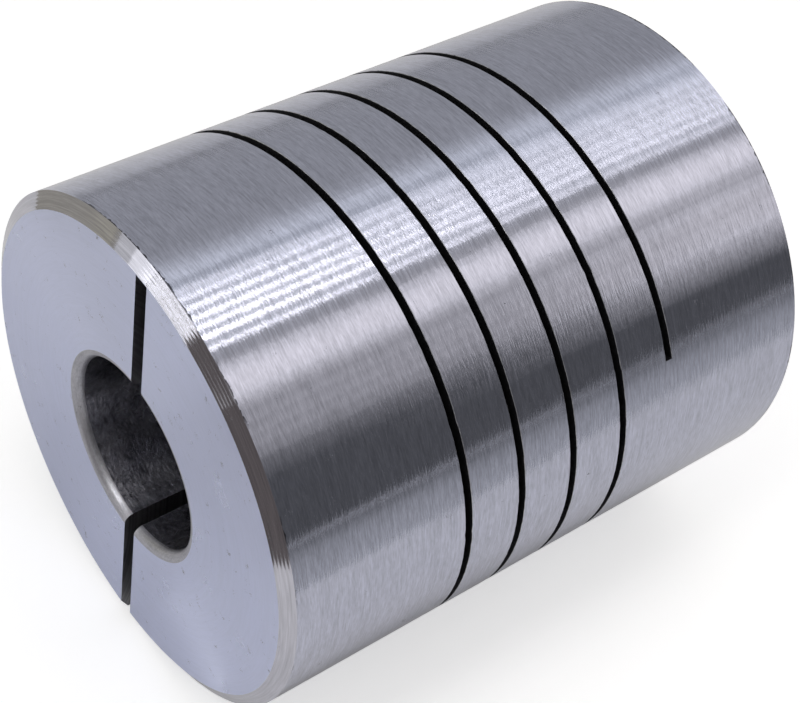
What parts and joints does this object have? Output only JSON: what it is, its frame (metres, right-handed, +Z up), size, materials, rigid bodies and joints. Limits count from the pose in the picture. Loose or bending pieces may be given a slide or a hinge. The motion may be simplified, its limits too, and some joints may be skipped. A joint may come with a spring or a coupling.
{
  "type": "beam coupling",
  "caption": "Round one-piece flexible shaft coupling with a helical slot through its middle and a split clamp hub with a cross screw at each end.",
  "frame": {"origin": "centre of the coupling, on the shaft axis, midway between the end faces", "axes": "+X along the shaft axis from the front face to the rear face; +Z up, away from the open side of both clamps; both clamp screws lie along Y below the axis"},
  "size_m": [0.03, 0.025, 0.025],
  "materials": {
    "turned_aluminium": "fine turned, satin",
    "screw_steel": "black oxide, lightly oiled"
  },
  "bodies": {
    "front_hub": {"front_hub": "turned_aluminium"},
    "rear_hub": {"rear_hub": "turned_aluminium"},
    "front_screw": {"front_clamp_screw": "screw_steel"},
    "rear_screw": {"rear_clamp_screw": "screw_steel"},
    "beam_1": {"beam_zone_1": "turned_aluminium"},
    "beam_2": {"beam_zone_2": "turned_aluminium"},
    "beam_3": {"beam_zone_3": "turned_aluminium"},
    "beam_4": {"beam_zone_4": "turned_aluminium"},
    "beam_5": {"beam_zone_5": "turned_aluminium"}
  },
  "joints": [
    {"name": "bend_front_y", "type": "hinge", "parent": "front_hub", "child": "beam_1", "pos_m": [-0.00769, 0, 0], "axis": [0, 1, 0], "range_deg": [-1, 1], "stiffness_Nm_per_rad": 8.04, "deforming": ["beam_zone_1"]},
    {"name": "bend_front_z", "type": "hinge", "parent": "beam_1", "child": "beam_2", "pos_m": [-0.00479, 0, 0], "axis": [0, 0, 1], "range_deg": [-1, 1], "stiffness_Nm_per_rad": 8.04, "deforming": ["beam_zone_1", "beam_zone_2"]},
    {"name": "wind_up", "type": "hinge", "parent": "beam_2", "child": "beam_3", "pos_m": [-0.00188, 0, 0], "axis": [1, 0, 0], "range_deg": [-2, 2], "stiffness_Nm_per_rad": 29.4, "deforming": ["beam_zone_2", "beam_zone_3"]},
    {"name": "stretch", "type": "slide", "parent": "beam_3", "child": "beam_4", "axis": [1, 0, 0], "range_m": [-0.0003, 0.0003], "stiffness_N_per_m": 55500, "deforming": ["beam_zone_3", "beam_zone_4"]},
    {"name": "bend_rear_z", "type": "hinge", "parent": "beam_4", "child": "beam_5", "pos_m": [0.00393, 0, 0], "axis": [0, 0, 1], "range_deg": [-1, 1], "stiffness_Nm_per_rad": 8.04, "deforming": ["beam_zone_4", "beam_zone_5"]},
    {"name": "bend_rear_y", "type": "hinge", "parent": "beam_5", "child": "rear_hub", "pos_m": [0.00683, 0, 0], "axis": [0, 1, 0], "range_deg": [-1, 1], "stiffness_Nm_per_rad": 8.04, "deforming": ["beam_zone_5"]},
    {"name": "front_screw_turn", "type": "hinge", "parent": "front_hub", "child": "front_screw", "pos_m": [-0.011, 0.00325, -0.00802], "axis": [0, -1, 0], "range_deg": [-360, 90]},
    {"name": "rear_screw_turn", "type": "hinge", "parent": "rear_hub", "child": "rear_screw", "pos_m": [0.011, 0.00325, -0.00802], "axis": [0, -1, 0], "range_deg": [-360, 90]}
  ]
}
